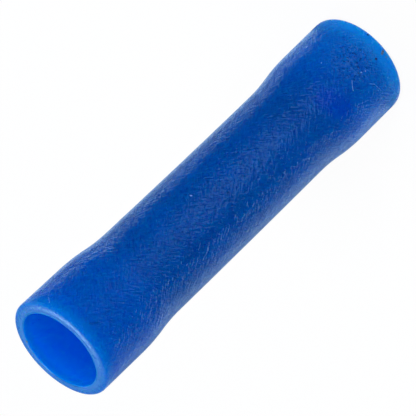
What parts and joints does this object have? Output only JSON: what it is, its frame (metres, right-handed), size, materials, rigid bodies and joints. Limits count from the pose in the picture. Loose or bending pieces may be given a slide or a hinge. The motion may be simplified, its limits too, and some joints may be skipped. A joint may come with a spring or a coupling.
{
  "type": "butt splice connector",
  "caption": "Insulated butt splice connector: a waisted blue plastic sleeve with flared wire entries around a tinned copper crimp barrel that joins wires end to end.",
  "frame": {"origin": "centre of the lower rim's plane, on the wire axis", "axes": "+Z along the wire axis, from the lower entry to the upper entry; X and Y are any two directions across it"},
  "size_m": [0.006, 0.006, 0.025],
  "materials": {
    "blue_pvc": "moulded translucent blue PVC with a matte, finely scuffed skin",
    "tinned_copper": "satin electroplated tin over copper"
  },
  "bodies": {
    "root": {"insulating_sleeve": "blue_pvc", "crimp_barrel": "tinned_copper"}
  },
  "joints": []
}
